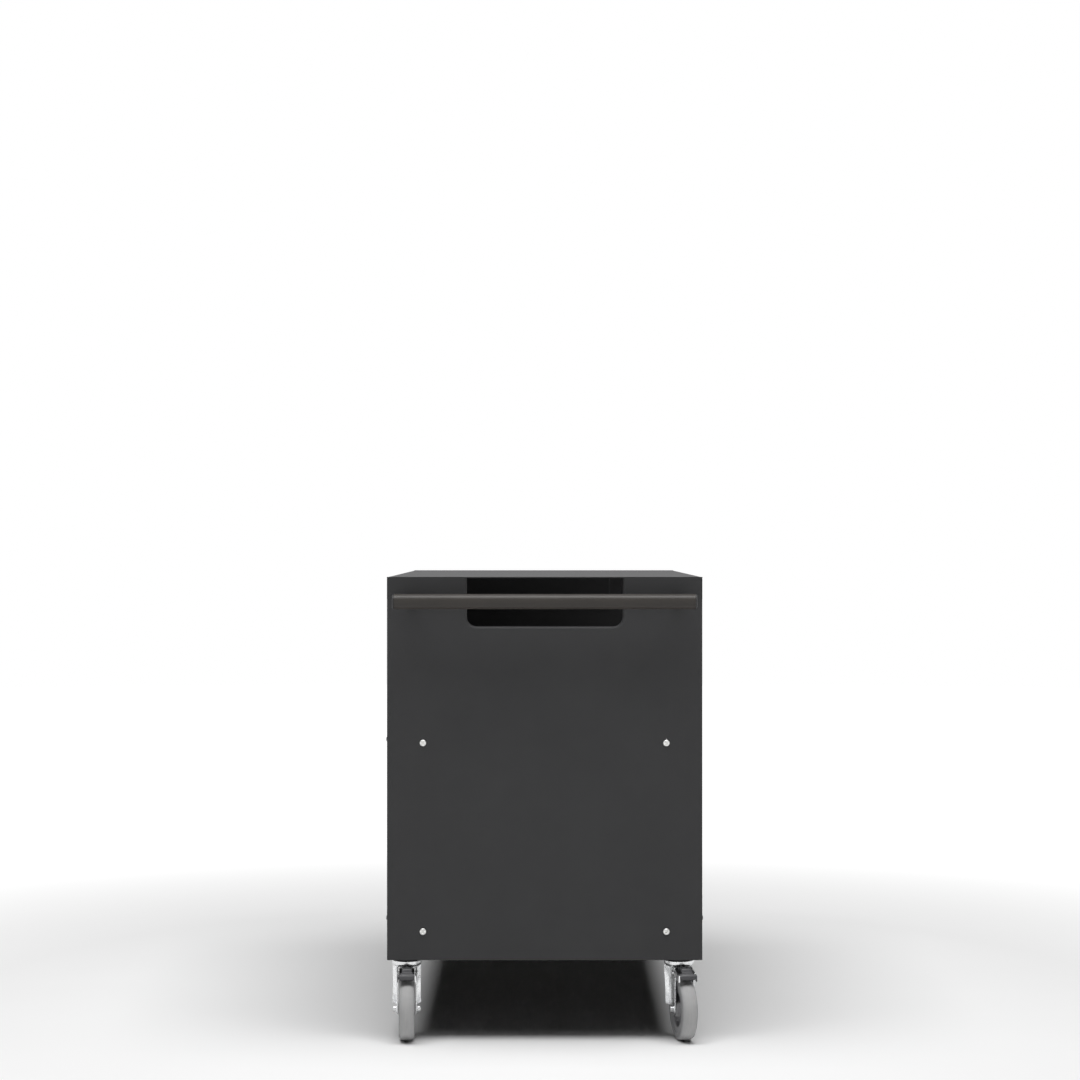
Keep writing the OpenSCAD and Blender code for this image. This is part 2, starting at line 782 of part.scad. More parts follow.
module pedal_pin() {
    color("silver") {
        translate([pedal_pivot[0], -cheek_out, pedal_pivot[1]]) rotate([-90, 0, 0])
            cylinder(r = pedal_pin_radius, h = 2 * cheek_out);
        for (side = [0, 1]) mirror([0, side, 0]) translate([pedal_pivot[0], cheek_out, pedal_pivot[1]])
            rotate([-90, 0, 0]) cylinder(r1 = pin_head, r2 = pedal_pin_radius, h = pin_head_height);
    }
}

module wheel_frame() {
    translate([caster_trail, 0, axle_height]) rotate([-90, 0, 0]) children();
}

module tyre() {
    outer = wheel_diameter / 2;
    half = wheel_width / 2;
    round_x = outer - tyre_crown - tyre_shoulder;
    round_y = half - tyre_shoulder;
    color("silver") wheel_frame() rotate_extrude($fn = 96) {
        polygon([
            [hub_radius, hub_recess - half], [round_x, -half], [round_x, half], [hub_radius, half - hub_recess]
        ]);
        polygon([
            [round_x - over, -round_y], [round_x + tyre_shoulder, -round_y], [outer, -round_y / 2],
            [outer, round_y / 2], [round_x + tyre_shoulder, round_y], [round_x - over, round_y]
        ]);
        for (side = [-1, 1]) translate([round_x, side * round_y]) circle(tyre_shoulder);
    }
}

module hub() {
    half = wheel_width / 2 - hub_recess;
    color("gray") wheel_frame() rotate_extrude($fn = 96) {
        translate([hub_radius - rim_wall, -half]) square([rim_wall, 2 * half]);
        translate([hub_bush_radius, -hub_length / 2]) square([hub_core - hub_bush_radius, hub_length]);
        translate([hub_core - over, -hub_web / 2]) square([hub_radius - rim_wall - hub_core + 2 * over, hub_web]);
    }
}

module bush() {
    color("goldenrod") wheel_frame() difference() {
        cylinder(r = hub_bush_radius, h = hub_length, center = true);
        cylinder(r = axle_radius + running, h = hub_length + 2 * over, center = true);
    }
}

// The foot pedal: a grooved plate over the wheel between the cheeks, with lower wings in front of them
module pedal() {
    low = pedal_pivot[1] - pedal_boss;
    top = pedal_pivot[1] + pedal_top;
    color("darkslategray") difference() {
        union() {
            translate([0, pedal_width / 2, 0]) along_y() linear_extrude(pedal_width) {
                translate(pedal_pivot) circle(pedal_boss);
                polygon([
                    [pedal_pivot[0], low], [pedal_bend, low], [pedal_tip - pedal_toe, low - pedal_dip],
                    [pedal_tip, low], [pedal_tip, pedal_pivot[1]], [pedal_tip - pedal_toe, top],
                    [caster_trail, top], [pedal_pivot[0], low + 2 * pedal_boss]
                ]);
            }
            translate([0, wing_width / 2, 0]) along_y() linear_extrude(wing_width) polygon([
                [wing_start, low], [pedal_tip - pedal_toe, low - pedal_dip], [pedal_tip, low],
                [pedal_tip, pedal_pivot[1]], [wing_start, pedal_pivot[1]]
            ]);
        }
        translate([pedal_pivot[0], -wing_width, pedal_pivot[1]]) rotate([-90, 0, 0])
            cylinder(r = pedal_pin_radius + running, h = 2 * wing_width);
        for (step = [0 : groove_count - 1])
            translate([caster_trail + groove_rim + groove_pitch * step, groove_rim - pedal_width / 2, top - groove[1]])
                cube([groove[0], pedal_width - 2 * groove_rim, groove[1] + over]);
    }
}

side_panel();  // side_panel_right
mirror([1, 0, 0]) side_panel();  // side_panel_left
top_deck();
deck_rib();
mid_shelf();
bottom_tray();
rear_panel();
caster_plates();
upper_races();
king_bolts();
king_nuts();
bar_tube();  // bar_tube_right
mirror([1, 0, 0]) bar_tube();  // bar_tube_left
bar_caps();
bar_posts();
post_screws();
side_screws();
side_nuts();
frame_screws();
frame_nuts();
hinge_brackets();
hinge_pins();
door_catch();
door_skin();  // door_skin_right
mirror([1, 0, 0]) door_skin();  // door_skin_left
door_liner();  // door_liner_right
mirror([1, 0, 0]) door_liner();  // door_liner_left
hinge_bushes();  // hinge_bushes_right
mirror([1, 0, 0]) hinge_bushes();  // hinge_bushes_left
strike();  // strike_right
mirror([1, 0, 0]) strike();  // strike_left
for (corner = corners) at_corner(corner) {
    fork();
    axle();
    pedal_pin();
    tyre();
    hub();
    bush();
    pedal();
}
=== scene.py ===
"""Looks of the outdoor oven table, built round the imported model.

Lengths are in millimetres, but those of the materials, the lights, the floor and the camera are in metres.
"""

import json
import math

import bmesh
import bpy
from mathutils import Matrix, Vector


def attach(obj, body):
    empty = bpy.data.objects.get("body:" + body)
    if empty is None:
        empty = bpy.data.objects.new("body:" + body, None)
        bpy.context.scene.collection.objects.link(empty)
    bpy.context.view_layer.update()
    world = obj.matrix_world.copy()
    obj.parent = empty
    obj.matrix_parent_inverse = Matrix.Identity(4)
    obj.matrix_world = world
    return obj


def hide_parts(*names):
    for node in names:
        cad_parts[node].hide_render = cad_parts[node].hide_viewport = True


MM = 0.001

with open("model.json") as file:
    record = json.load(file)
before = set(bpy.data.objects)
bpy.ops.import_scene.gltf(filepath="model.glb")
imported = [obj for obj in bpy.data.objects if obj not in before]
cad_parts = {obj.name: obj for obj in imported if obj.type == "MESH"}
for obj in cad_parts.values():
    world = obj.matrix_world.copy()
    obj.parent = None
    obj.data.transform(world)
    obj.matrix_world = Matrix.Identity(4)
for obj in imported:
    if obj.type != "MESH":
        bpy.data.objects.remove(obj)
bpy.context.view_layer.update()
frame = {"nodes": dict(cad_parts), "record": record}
nodes = frame["nodes"]

# Sizes that the part's source also has
HALF_WIDTH = 560
HALF_DEPTH = 315
# Each caster's place and its turn in degrees
CORNERS = {
    "front_right": (505, -278, 3),
    "front_left": (-505, -278, 171),
    "rear_right": (505, 271, 11),
    "rear_left": (-505, 271, 186),
}


# Materials

def grey(value):
    """A linear grey, or a colour from three sRGB bytes."""
    parts = value if isinstance(value, tuple) else (value, value, value)
    return tuple(((p / 255 + 0.055) / 1.055) ** 2.4 if p > 10 else p / 255 / 12.92 for p in parts) + (1,)


class Nodes:
    """Adds nodes to a material and joins them in few words."""

    def __init__(self, name):
        self.material = bpy.data.materials.new(name)
        self.material.use_nodes = True
        self.tree = self.material.node_tree
        self.shader = self.tree.nodes["Principled BSDF"]
        self.place = self.add("ShaderNodeTexCoord").outputs["Object"]

    def add(self, kind, **settings):
        node = self.tree.nodes.new(kind)
        for key, value in settings.items():
            setattr(node, key, value)
        return node

    def join(self, source, target):
        self.tree.links.new(source, target)

    def noise(self, scale, detail=4, rough=0.5, stretch=None, seed=0.0):
        """A noise value in the piece's own frame, with its scale in cycles a metre."""
        mapping = self.add("ShaderNodeMapping")
        mapping.inputs["Location"].default_value = (seed, seed * 0.7, seed * 1.3)
        if stretch:
            mapping.inputs["Scale"].default_value = stretch
        self.join(self.place, mapping.inputs["Vector"])
        texture = self.add("ShaderNodeTexNoise")
        texture.inputs["Scale"].default_value = scale
        texture.inputs["Detail"].default_value = detail
        texture.inputs["Roughness"].default_value = rough
        self.join(mapping.outputs["Vector"], texture.inputs["Vector"])
        return texture.outputs["Fac"]

    def span(self, value, low, high, from_low=0.3, from_high=0.7):
        """Maps a value to a range, held at the range's ends."""
        node = self.add("ShaderNodeMapRange")
        limits = {"From Min": from_low, "From Max": from_high, "To Min": low, "To Max": high}
        for key, number in limits.items():
            node.inputs[key].default_value = number
        self.join(value, node.inputs["Value"])
        return node.outputs["Result"]

    def blend(self, factor, first, second):
        """Mixes two colours, each a tuple or another node's output."""
        node = self.add("ShaderNodeMix", data_type="RGBA")
        for key, colour in ((6, first), (7, second)):
            if isinstance(colour, tuple):
                node.inputs[key].default_value = colour
            else:
                self.join(colour, node.inputs[key])
        self.join(factor, node.inputs[0])
        return node.outputs[2]

    def maths(self, operation, first, second):
        node = self.add("ShaderNodeMath", operation=operation)
        for key, value in enumerate((first, second)):
            if isinstance(value, (int, float)):
                node.inputs[key].default_value = value
            else:
                self.join(value, node.inputs[key])
        return node.outputs[0]

    def bump(self, *layers):
        """Adds bumps to the shader, each a value, its strength and its depth in metres."""
        normal = None
        for value, strength, depth in layers:
            node = self.add("ShaderNodeBump")
            node.inputs["Strength"].default_value = strength
            node.inputs["Distance"].default_value = depth
            self.join(value, node.inputs["Height"])
            if normal:
                self.join(normal, node.inputs["Normal"])
            normal = node.outputs["Normal"]
        self.join(normal, self.shader.inputs["Normal"])

    def set(self, **values):
        for key, value in values.items():
            socket = self.shader.inputs[key.replace("_", " ")]
            if isinstance(value, (int, float, tuple)):
                socket.default_value = value
            else:
                self.join(value, socket)


def powder_coat(name, colour, dark, rough, seed):
    """A fine matte powder coat: orange peel, a faint mottle and a little dust."""
    m = Nodes(name)
    mottle = m.noise(7, 5, 0.6, seed=seed)
    grain = m.noise(900, 3, 0.6, seed=seed)
    peel = m.noise(260, 2, 0.4, seed=seed + 3)
    speck = m.noise(2600, 2, 0.5, seed=seed + 5)
    base = m.blend(m.span(mottle, 0, 1), grey(dark), grey(colour))
    base = m.blend(m.span(speck, 0, 0.35, 0.55, 0.8), base, grey(tuple(c + 16 for c in colour)))
    m.set(Base_Color=base, Roughness=m.span(grain, rough - 0.05, rough + 0.06), Metallic=0.0)
    m.set(Specular_IOR_Level=0.24)
    m.bump((peel, 0.25, 0.00025), (grain, 0.35, 0.00012))
    return m.material


def zinc_plate(name, bright=(238, 239, 240), rough=0.24, seed=0.0):
    """Bright zinc: cool patches, fine drawn scratches and a dull film in places."""
    m = Nodes(name)
    patch = m.noise(60, 5, 0.6, seed=seed)
    film = m.noise(210, 4, 0.6, seed=seed + 2)
    scratch = m.noise(900, 3, 0.6, stretch=(1, 1, 0.06), seed=seed + 4)
    base = m.blend(m.span(patch, 0, 1), grey(bright), grey(tuple(b - 8 for b in bright)))
    base = m.blend(m.span(film, 0, 0.14, 0.5, 0.75), base, grey((204, 204, 197)))
    m.set(Base_Color=base, Metallic=1.0)
    m.set(Roughness=m.maths("ADD", m.span(film, rough - 0.03, rough + 0.1), m.span(scratch, -0.02, 0.03)))
    m.bump((scratch, 0.05, 0.00003), (patch, 0.08, 0.0002))
    return m.material


def tyre_rubber(name):
    """Grey rubber round an axle along Y: fine streaks, a rubbed crown, and painted shade that darkens the
    shoulders and side walls.
    """
    m = Nodes(name)
    split = m.add("ShaderNodeSeparateXYZ")
    m.join(m.place, split.inputs[0])
    side = m.maths("ABSOLUTE", split.outputs[1], 0)
    crown = m.span(side, 1, 0, 0.007, 0.014)
    streak = m.noise(320, 4, 0.6, stretch=(0.12, 2.2, 0.12), seed=1)
    cloud = m.noise(38, 5, 0.6, seed=2)
    grain = m.noise(1500, 3, 0.6, seed=3)
    base = m.blend(m.span(cloud, 0, 1), grey((166, 166, 167)), grey((180, 180, 180)))
    base = m.blend(m.maths("MULTIPLY", m.span(streak, 0, 0.5), crown), base, grey((193, 192, 190)))
    # Painted shade: from 13.5 mm out from the middle, the shoulders and side walls are darkened towards grey
    # 112, standing in for the shade on the tyre's sides
    base = m.blend(m.span(side, 0, 0.55, 0.0135, 0.0158), base, grey((112, 112, 113)))
    m.set(Base_Color=base, Roughness=m.span(grain, 0.55, 0.72))
    m.set(Specular_IOR_Level=0.35)
    m.bump((streak, 0.12, 0.0003), (grain, 0.3, 0.00012))
    return m.material


def moulded(name, colour, rough=0.5, lift=26, seed=0.0):
    """Moulded plastic or coated pressing: fine spark grain, rubbed where hands and feet touch it."""
    m = Nodes(name)
    cloud = m.noise(55, 5, 0.6, seed=seed)
    grain = m.noise(1900, 3, 0.6, seed=seed + 1)
    rub = m.noise(420, 5, 0.7, seed=seed + 2)
    base = m.blend(m.span(cloud, 0, 1), grey(colour), grey(tuple(max(0, c - 8) for c in colour)))
    base = m.blend(m.span(rub, 0, 0.7, 0.58, 0.8), base, grey(tuple(c + lift for c in colour)))
    m.set(Base_Color=base, Roughness=m.span(grain, rough - 0.07, rough + 0.1))
    m.bump((grain, 0.35, 0.00012), (rub, 0.12, 0.0002))
    return m.material


PANEL = powder_coat("panel_coat", (60, 60, 61), (56, 56, 57), 0.54, 0.0)
INNER = powder_coat("inner_coat", (59, 59, 60), (54, 54, 55), 0.55, 11.0)
# Painted reflection: the bar's coat is tinted warmer than the panel's grey, standing in for the warm light
# reflected on the bar's top
BAR = powder_coat("bar_coat", (65, 61, 58), (59, 56, 53), 0.34, 23.0)
ZINC = zinc_plate("zinc")
SCREW_ZINC = zinc_plate("screw_zinc", (232, 232, 230), 0.3, 7.0)
DARK_STEEL = moulded("dark_steel", (52, 52, 56), 0.42, 20, 5.0)
# Painted shade: the upper races get a dark grey coat that stands in for the shade they sit in under the tray
RACE_PAINTED_SHADE = moulded("race_painted_shade", (58, 57, 62), 0.4, 30, 9.0)
BLACK = moulded("black_plastic", (34, 34, 35), 0.5, 18, 15.0)
TYRE = tyre_rubber("tyre_rubber")
HUB = moulded("hub_plastic", (148, 148, 150), 0.52, 14, 19.0)
PEDAL = moulded("pedal_plastic", (74, 74, 77), 0.42, 40, 27.0)
BRASS = zinc_plate("bush_brass", (206, 178, 110), 0.34, 31.0)

FINISH = {
    "panel_paint": PANEL, "inner_paint": INNER, "bar_paint": BAR, "race_paint": RACE_PAINTED_SHADE,
    "zinc": ZINC, "dark_screw": DARK_STEEL, "bush_brass": BRASS, "tyre_rubber": TYRE,
    "hub_plastic": HUB, "pedal_plastic": PEDAL, "black_plastic": BLACK,
}
SLOTS = {row["node"]: row["material_slot"] for row in frame["record"]["subparts"]}

for name, node in nodes.items():
    node.data.materials.clear()
    node.data.materials.append(FINISH[SLOTS[name]])


# Mesh helpers, which draw each piece in a frame of its own

# Turns a profile's Z axis to +Y
ALONG_Y = Matrix.Rotation(-math.pi / 2, 4, "X")


def frame_at(x, y, z, turn=0.0):
    """A place in metres, from millimetres and a turn in degrees."""
    return Matrix.Translation((x * MM, y * MM, z * MM)) @ Matrix.Rotation(math.radians(turn), 4, "Z")


def angles(steps):
    """Equal steps round a full turn, in radians."""
    return [2 * math.pi * k / steps for k in range(steps)]


def arc(centre, radius, start, stop, steps):
    """Points on an arc, angles in degrees."""
    return [
        (centre[0] + radius * math.cos(math.radians(start + (stop - start) * i / steps)),
         centre[1] + radius * math.sin(math.radians(start + (stop - start) * i / steps)))
        for i in range(steps + 1)
    ]


def ring_faces(bm, rings):
    """Joins closed rings of points, each with the same count, and caps both ends."""
    made = [[bm.verts.new(p) for p in ring] for ring in rings]
    count = len(made[0])
    for low, high in zip(made, made[1:]):
        for i in range(count):
            j = (i + 1) % count
            bm.faces.new((low[i], low[j], high[j], high[i]))
    bm.faces.new(reversed(made[0]))
    bm.faces.new(made[-1])


def loop_faces(bm, rings):
    """Joins closed rings of points into a loop, the last ring to the first."""
    made = [[bm.verts.new(p) for p in ring] for ring in rings]
    count = len(made[0])
    for a in range(len(made)):
        b = (a + 1) % len(made)
        for i in range(count):
            j = (i + 1) % count
            bm.faces.new((made[a][i], made[b][i], made[b][j], made[a][j]))


def turned(bm, profile, steps=64, place=Matrix.Identity(4)):
    """Turns a closed profile of (radius, height) points about the place's Z axis."""
    rings = []
    for angle in angles(steps):
        rings.append([place @ Vector((r * math.cos(angle), r * math.sin(angle), z)) for r, z in profile])
    loop_faces(bm, rings)


def dome_screw(bm, place, radius, height, shank, length, recess=1.5):
    """A pan head with a cross recess, along the place's Z axis, with its seat at the origin."""
    steps, rows = 48, 14
    rim = 0.22 * height
    profile = [(radius, 0.0), (radius, rim)]
    for i in range(1, rows + 1):
        share = i / rows
        r = radius * (1 - share)
        profile.append((r, rim + (height - rim) * math.sqrt(max(0.0, 1 - (r / radius) ** 2.6))))
    made = []
    for r, z in profile[:-1]:
        row = []
        for angle in angles(steps):
            x, y = r * math.cos(angle), r * math.sin(angle)
            row.append(bm.verts.new(place @ Vector((x, y, z - cross_depth(x, y, radius, recess)))))
        made.append(row)
    top = bm.verts.new(place @ Vector((0, 0, height - cross_depth(0, 0, radius, recess))))
    for low, high in zip(made, made[1:]):
        for k in range(steps):
            bm.faces.new((low[k], low[(k + 1) % steps], high[(k + 1) % steps], high[k]))
    for k in range(steps):
        bm.faces.new((made[-1][k], made[-1][(k + 1) % steps], top))
    neck = [place @ Vector((shank * math.cos(a), shank * math.sin(a), 0)) for a in angles(steps)]
    neck = [bm.verts.new(p) for p in neck]
    tip = [bm.verts.new(v.co + (place.to_3x3() @ Vector((0, 0, -length)))) for v in neck]
    for k in range(steps):
        j = (k + 1) % steps
        bm.faces.new((neck[k], neck[j], made[0][j], made[0][k]))
        bm.faces.new((tip[k], tip[j], neck[j], neck[k]))
    bm.faces.new(reversed(tip))


def cross_depth(x, y, radius, recess):
    """Depth of a cross recess, turned by an eighth, at a point of a screw's head."""
    u, v = (x + y) / math.sqrt(2), (x - y) / math.sqrt(2)
    best = 0.0
    for a, b in ((u, v), (v, u)):
        across = max(0.0, 1 - max(0.0, abs(a) - 0.09 * radius) / (0.06 * radius))
        along = max(0.0, 1 - max(0.0, abs(b) - 0.40 * radius) / (0.12 * radius))
        best = max(best, min(across, along))
    return recess * best


def hexagon(bm, place, flats, low, high, chamfer=0.8):
    """A chamfered hexagon head or nut along the place's Z axis."""
    outer = flats / math.sqrt(3)
    rings = []
    for z, shrink in ((low, chamfer), (low + chamfer * 0.6, 0), (high - chamfer * 0.6, 0), (high, chamfer)):
        ring = []
        for k in range(6):
            for share in (0.0, 0.12, 0.5, 0.88):
                angle = (k + share) * math.pi / 3
                flat = flats / 2 / math.cos((share - 0.5) * math.pi / 3)
                reach = min(flat, outer - 0.25) - shrink * (0.45 if share == 0.5 else 1.0)
                ring.append(place @ Vector((reach * math.cos(angle), reach * math.sin(angle), z)))
        rings.append(ring)
    ring_faces(bm, rings)


def make_piece(name, body, build, material, stands_for, place=Matrix.Identity(4), smooth=38, bevel=0.0):
    """Makes a piece from a function that fills a bmesh, in place of solids, and lets it ride on a body.

    Edges sharper than the smooth angle, in degrees, stay sharp.
    """
    bm = bmesh.new()
    build(bm)
    bmesh.ops.remove_doubles(bm, verts=bm.verts, dist=0.001)
    bmesh.ops.recalc_face_normals(bm, faces=bm.faces)
    bmesh.ops.scale(bm, vec=(MM, MM, MM), verts=bm.verts)
    mesh = bpy.data.meshes.new(name)
    bm.to_mesh(mesh)
    bm.free()
    mesh.materials.append(material)
    piece = bpy.data.objects.new(name, mesh)
    piece.matrix_world = place
    bpy.context.scene.collection.objects.link(piece)
    if bevel:
        soften = piece.modifiers.new("soften", "BEVEL")
        soften.width = bevel * MM
        soften.segments = 2
        soften.limit_method = "ANGLE"
        soften.angle_limit = math.radians(32)
    mesh.shade_smooth()
    mesh.set_sharp_from_angle(angle=math.radians(smooth))
    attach(piece, body)
    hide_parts(*stands_for)


# Casters, drawn with the swivel's axis along Z at the origin and the wheel trailing towards +X

TRAIL = 36
AXLE = 62.5
# The pedal's rivet, as X and Z
PIVOT = (30, 134.5)
# Faces of a cheek, the place of its rear bend, the radius of its lower end and its front edge as (Z, X)
CHEEK_IN = 17.75
CHEEK_OUT = 20.25
CHEEK_BEND = 1.0
CHEEK_END = 11.0
CHEEK_FRONT = [(145.2, 25.6), (142, 32), (139.4, 45), (138, 48), (127, 49), (118, 47), (AXLE, 47)]
CHEEK_LEVELS = [145.2, 144.2, 143, 141.8, 140.6, 139.6, 138.4, 135, 131, 127, 122.5, 118, 112, 105, 98]
CHEEK_LEVELS += [91, 85, 80, 76.5, 74, 72.5, 71.3, 70.3, 69.3, 68.3, 67.3, 66.3, 65.3, 64, AXLE]
CHEEK_LEVELS += [60, 57.6, 55.6, 54.2, 53.2, 52.4, 51.9, 51.6]
# The rear flange: where it is gone, where it starts to fade, and its reach from the bend as (Z, X) and (Z, Y)
FLANGE_END = 65.6
FLANGE_FOOT = 70.3
FLANGE_X = [(145.2, -13.0), (75, 4.0), (70, 4.8), (52, 4.8)]
FLANGE_Y = [(145.2, 8.45), (75, 7.55), (52, 7.55)]
# How far the nose of a cheek reaches, and how far on the hook's side
NOSE_REACH = 72
NOSE_SHORT = 58
NOSE_TOP = [(NOSE_REACH, 134.0), (50, 139.0), (43.5, 140.2)]
# The side of each pedal that has its hook, in the caster's own frame
HOOKS = {"front_right": -1, "front_left": 1, "rear_right": 1, "rear_left": -1}


def build_head(bm):
    """The deep dished head round the race, with its rolled rim."""
    profile = [(6.1, 144.0), (23.8, 144.0)] + arc((23.8, 147.2), 3.2, -90, -40, 5)[1:]
    profile += arc((24.4, 150.6), 5.6, -38, 0, 5) + [(30.0, 154.9)] + arc((29.1, 154.9), 0.7, 0, 180, 5)
    profile += [(27.6, 154.6), (27.5, 150.6)] + arc((24.4, 150.4), 3.1, -10, -50, 4)
    profile += [(23.6, 146.5), (6.1, 146.5)]
    turned(bm, profile, 72)


def between(table, x):
    """The value at x on a line through the table's points, whose first column falls."""
    for (x0, y0), (x1, y1) in zip(table, table[1:]):
        if x >= x1:
            return y0 + (y1 - y0) * min(1.0, max(0.0, (x0 - x) / (x0 - x1)))
    return table[-1][1]


def cheek_rings(side):
    """Rings of one pressed cheek, from its head end down to the rounded end below the axle."""
    soft = 0.5
    round_over = 0.4
    rings = []
    for z in CHEEK_LEVELS:
        front = between(CHEEK_FRONT, z)
        back = CHEEK_BEND if z > FLANGE_FOOT else CHEEK_BEND + (FLANGE_FOOT - z) * 1.65
        if z < AXLE:
            reach = CHEEK_END * math.sqrt(max(0.01, 1 - min(1.0, (AXLE - z) / CHEEK_END) ** 2))
            front = TRAIL + reach
            back = max(back, TRAIL - reach) if z < 55 else back
        # The rear flange flares out from the bend, and stands nearly square to the cheek at its foot
        share = min(1.0, max(0.02, (z - FLANGE_END) / 4.6))
        flange = Vector((between(FLANGE_X, z), between(FLANGE_Y, z)))
        angle = math.atan2(flange.y, -flange.x) * share
        along = Vector((-math.cos(angle), math.sin(angle)))
        across = Vector((math.sin(angle), math.cos(angle)))
        outer = Vector((back, CHEEK_OUT))
        tip = outer + along * flange.length * share
        heel = tip - across * (CHEEK_OUT - CHEEK_IN)
        inner = Vector((back, CHEEK_IN))
        if share > 0.2:
            inner = heel - along * ((heel.y - CHEEK_IN) / max(0.02, along.y))
        bow = 1.5 * share
        ring = [(front, CHEEK_OUT - soft), (front - soft, CHEEK_OUT), (outer.x + bow, CHEEK_OUT)]
        ring += [(outer.x + bow * 0.35 + along.x * bow * 0.2, CHEEK_OUT + along.y * bow * 0.22)]
        ring += [outer + along * bow, tip - along * round_over * share, tip - across * round_over]
        ring += [heel + across * round_over, heel - along * round_over * share, inner + along * bow * 1.6]
        ring += [(inner.x + bow * 0.5 + along.x * bow * 0.4, CHEEK_IN + along.y * bow * 0.4)]
        ring += [(inner.x + bow * 1.8, CHEEK_IN), (front - soft, CHEEK_IN), (front, CHEEK_IN + soft)]
        rings.append([(x, side * y, z) for x, y in ring])
    return rings


def nose_rings(side, reach):
    """Rings of the nose at the cheek's upper front, which leans in over the wheel."""
    rings = []
    for x in (43.5, 46, 49, 52, 55, 58, 61, 64, 67, 69.5, 71.2, NOSE_REACH):
        if x > reach:
            break
        lean = 2.1 * max(0.0, (x - 46) / 26) ** 1.2
        # The tip is rounded, and the root is sunk a little into the cheek's faces
        soft = 0.5 + max(0.0, x - 70.5) * 0.6
        low = 127.4 - 7.2 * max(0.0, (x - 48) / 24) + soft
        high = between(NOSE_TOP, x) - soft
        inner, outer = CHEEK_IN - lean + 0.05, CHEEK_OUT - lean * 0.75 - 0.05
        ring = [(inner + 0.4, low - 0.5), (outer - 0.4, low - 0.5), (outer, low), (outer, high)]
        ring += [(outer - 0.4, high + 0.5), (inner + 0.4, high + 0.5), (inner, high), (inner, low)]
        rings.append([(x, side * y, z) for y, z in ring])
    return rings


def fork_with(hook):
    """A fork whose nose is cut short on the side of the pedal's hook."""
    def build(bm):
        build_head(bm)
        for side in (-1, 1):
            ring_faces(bm, cheek_rings(side))
            ring_faces(bm, nose_rings(side, NOSE_SHORT if side == hook else NOSE_REACH))
            # A raised ring pressed round the axle's hole
            place = Matrix.Translation((TRAIL, side * (CHEEK_OUT - 0.1), AXLE))
            place = place @ Matrix.Rotation(-side * math.pi / 2, 4, "X")
            turned(bm, [(4.1, 0.0), (8.6, 0.0), (8.0, 0.5), (4.1, 0.5)], 40, place)
    return build


def build_axle(bm):
    """The axle bolt with its head, washers and lock nut."""
    along = Matrix.Translation((TRAIL, 0, AXLE)) @ ALONG_Y
    turned(bm, [(0.02, -25.6), (3.7, -25.6), (4.0, -25.3), (4.0, 27.0), (3.4, 27.8), (0.02, 27.8)], 32, along)
    for side in (-1, 1):
        for radius, low, high, steps in ((7.0, 20.7, 21.4, 40), (6.0, 17.25, CHEEK_IN, 32)):
            washer = [(4.05, side * low), (radius, side * low), (radius, side * high), (4.05, side * high)]
            turned(bm, washer, steps, along)
    hexagon(bm, along, 10.8, 21.4, 26.6, 0.8)
    turned(bm, [(4.05, 26.4), (5.2, 26.4), (4.9, 27.3), (4.05, 27.3)], 32, along)
    hexagon(bm, along, 10.8, -27.3, -21.4, 0.8)


def build_pin(bm):
    """The pedal's rivet with a domed head on each cheek."""
    along = Matrix.Translation((PIVOT[0], 0, PIVOT[1])) @ ALONG_Y
    turned(bm, [(0.02, -20.2), (2.5, -20.2), (2.5, 20.2), (0.02, 20.2)], 24, along)
    for side in (-1, 1):
        dome = [(0.02, 20.2), (4.3, 20.2), (4.1, 20.8), (3.2, 21.7), (1.6, 22.1), (0.02, 22.2)]
        turned(bm, [(radius, side * y) for radius, y in dome], 32, along)


def build_tyre(bm):
    """A crowned tread round an axle along Y, with a mould line, round shoulders and a ring on each side."""
    half = [(0.0, 62.5), (0.25, 62.44), (0.55, 62.48), (3.0, 62.4), (6.0, 62.1), (8.5, 61.6), (10.5, 60.9)]
    half += [(y, r) for r, y in ((59.9, 12.2), (58.4, 13.8), (56.6, 15.0), (54.8, 15.7), (53.2, 16.0))]
    half += [(15.8, 52.4), (15.75, 51.0), (15.2, 50.4), (15.0, 48.4), (14.6, 47.05), (0.0, 47.05)]
    right = [(r, y) for y, r in half]
    left = [(r, -y) for y, r in reversed(half[1:-1])]
    turned(bm, right + left, 128, ALONG_Y)


def build_hub(bm):
    """A moulded hub: rim, recessed web with ribs, and a boss with a seal ring."""
    half = [(47.0, 0.0), (47.0, 13.6), (46.6, 14.0), (36.4, 13.4), (35.0, 12.8), (34.2, 11.6), (33.2, 6.4)]
    half += [(32.0, 5.2), (28.0, 4.6), (20.0, 4.6), (16.6, 5.6), (15.4, 7.2), (15.0, 15.2), (14.2, 16.2)]
    half += [(12.4, 16.6), (11.8, 16.0), (10.8, 16.0), (10.2, 16.9), (6.6, 16.9), (6.55, 0.0)]
    left = [(r, -y) for r, y in reversed(half[1:-1])]
    turned(bm, half + left, 96, ALONG_Y)
    # Each rib by stations of radius, height and half width
    stations = ((14.4, 10.0, 1.5), (18, 8.6, 1.35), (26, 7.6, 1.15), (31, 8.0, 1.3), (34.4, 9.6, 1.7))
    for side in (-1, 1):
        for k in range(10):
            turn = Matrix.Rotation(2 * math.pi * (k + 0.5) / 10, 4, "Y")
            rings = []
            for x, tall, wide in stations:
                shape = [(-wide, 3.0), (-wide * 0.8, tall - 0.5), (-wide * 0.4, tall)]
                shape += [(wide * 0.4, tall), (wide * 0.8, tall - 0.5), (wide, 3.0)]
                rings.append([turn @ Vector((x, side * y, z)) for z, y in shape])
            ring_faces(bm, rings)


